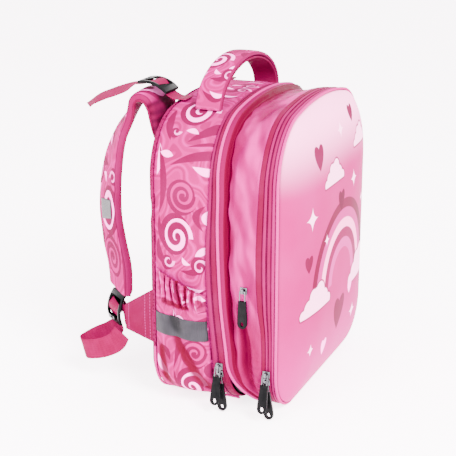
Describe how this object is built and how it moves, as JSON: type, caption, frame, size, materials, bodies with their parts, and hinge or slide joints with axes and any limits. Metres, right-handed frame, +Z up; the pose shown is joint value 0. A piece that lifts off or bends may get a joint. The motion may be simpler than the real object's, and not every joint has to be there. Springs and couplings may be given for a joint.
{
  "type": "ergonomic school backpack",
  "caption": "Standing child's school backpack with a moulded domed front, zipped side walls, side pockets, padded shoulder straps and a carrying handle.",
  "frame": {"origin": "middle of the base panel's underside, on the floor", "axes": "+Z up, -Y out of the moulded front, +Y out of the padded back, -X towards the wearer's left side of the bag"},
  "size_m": [0.3142, 0.3039, 0.3928],
  "materials": {
    "dark_cloth": "matt woven cloth",
    "mesh_padding": "open mesh over foam",
    "printed_cloth": "satin cloth with a swirl print in pinks",
    "pale_cord": "smooth cord",
    "satin_cloth": "soft satin",
    "moulded_panel": "smooth moulded laminate with a printed picture",
    "reflective_tape": "grey reflective weave",
    "pink_cloth": "woven tape and lining cloth",
    "pink_webbing": "flat webbing",
    "black_plastic": "glossy moulded plastic",
    "black_rubber": "smooth rubber",
    "silver_metal": "plated zinc"
  },
  "bodies": {
    "bag": {"back_panel": "mesh_padding", "base_corner_left": "dark_cloth", "base_corner_right": "dark_cloth", "base_panel": "dark_cloth", "base_piping_left": "pale_cord", "base_piping_right": "pale_cord", "front_piping": "pale_cord", "front_pull_slider": "silver_metal", "front_second_pull_link": "silver_metal", "front_second_pull_slider": "silver_metal", "front_second_pull_tab": "black_rubber", "front_shell": "moulded_panel", "front_zipper_coil": "pink_cloth", "front_zipper_tape": "pink_cloth", "handle_lining": "pink_cloth", "handle_pad": "printed_cloth", "lifter_buckle_left": "black_plastic", "lifter_buckle_right": "black_plastic", "lifter_web_left": "pink_webbing", "lifter_web_right": "pink_webbing", "lower_buckle_left": "black_plastic", "lower_buckle_right": "black_plastic", "lower_web_left": "pink_webbing", "lower_web_right": "pink_webbing", "middle_gusset": "satin_cloth", "pocket_band_left": "reflective_tape", "pocket_band_right": "reflective_tape", "pocket_left": "printed_cloth", "pocket_right": "printed_cloth", "rear_gusset": "printed_cloth", "rear_piping": "pale_cord", "rear_pull_slider": "silver_metal", "rear_second_pull_link": "silver_metal", "rear_second_pull_slider": "silver_metal", "rear_second_pull_tab": "black_rubber", "rear_zipper_coil": "pink_cloth", "rear_zipper_tape": "pink_cloth", "side_pull_slider": "silver_metal", "strap_lining_left": "pink_cloth", "strap_lining_right": "pink_cloth", "strap_pad_left": "printed_cloth", "strap_pad_right": "printed_cloth", "strap_reflector_left": "reflective_tape", "strap_reflector_right": "reflective_tape", "strap_wing_left": "pink_cloth", "strap_wing_right": "pink_cloth"},
    "rear_pull": {"rear_pull_link": "silver_metal", "rear_pull_tab": "black_rubber"},
    "front_pull": {"front_pull_link": "silver_metal", "front_pull_tab": "black_rubber"},
    "side_pull": {"side_pull_link": "silver_metal", "side_pull_tab": "black_rubber"}
  },
  "joints": [
    {"name": "rear_pull_swing", "type": "hinge", "parent": "bag", "child": "rear_pull", "pos_m": [-0.1465, -0.0067, 0.05461], "axis": [0, 1, 0], "range_deg": [0, 140]},
    {"name": "front_pull_swing", "type": "hinge", "parent": "bag", "child": "front_pull", "pos_m": [-0.1465, -0.0649, 0.05461], "axis": [0, 1, 0], "range_deg": [0, 140]},
    {"name": "side_pull_swing", "type": "hinge", "parent": "bag", "child": "side_pull", "pos_m": [-0.1436, -0.0355, 0.15011], "axis": [0, 1, 0], "range_deg": [0, 150]}
  ]
}
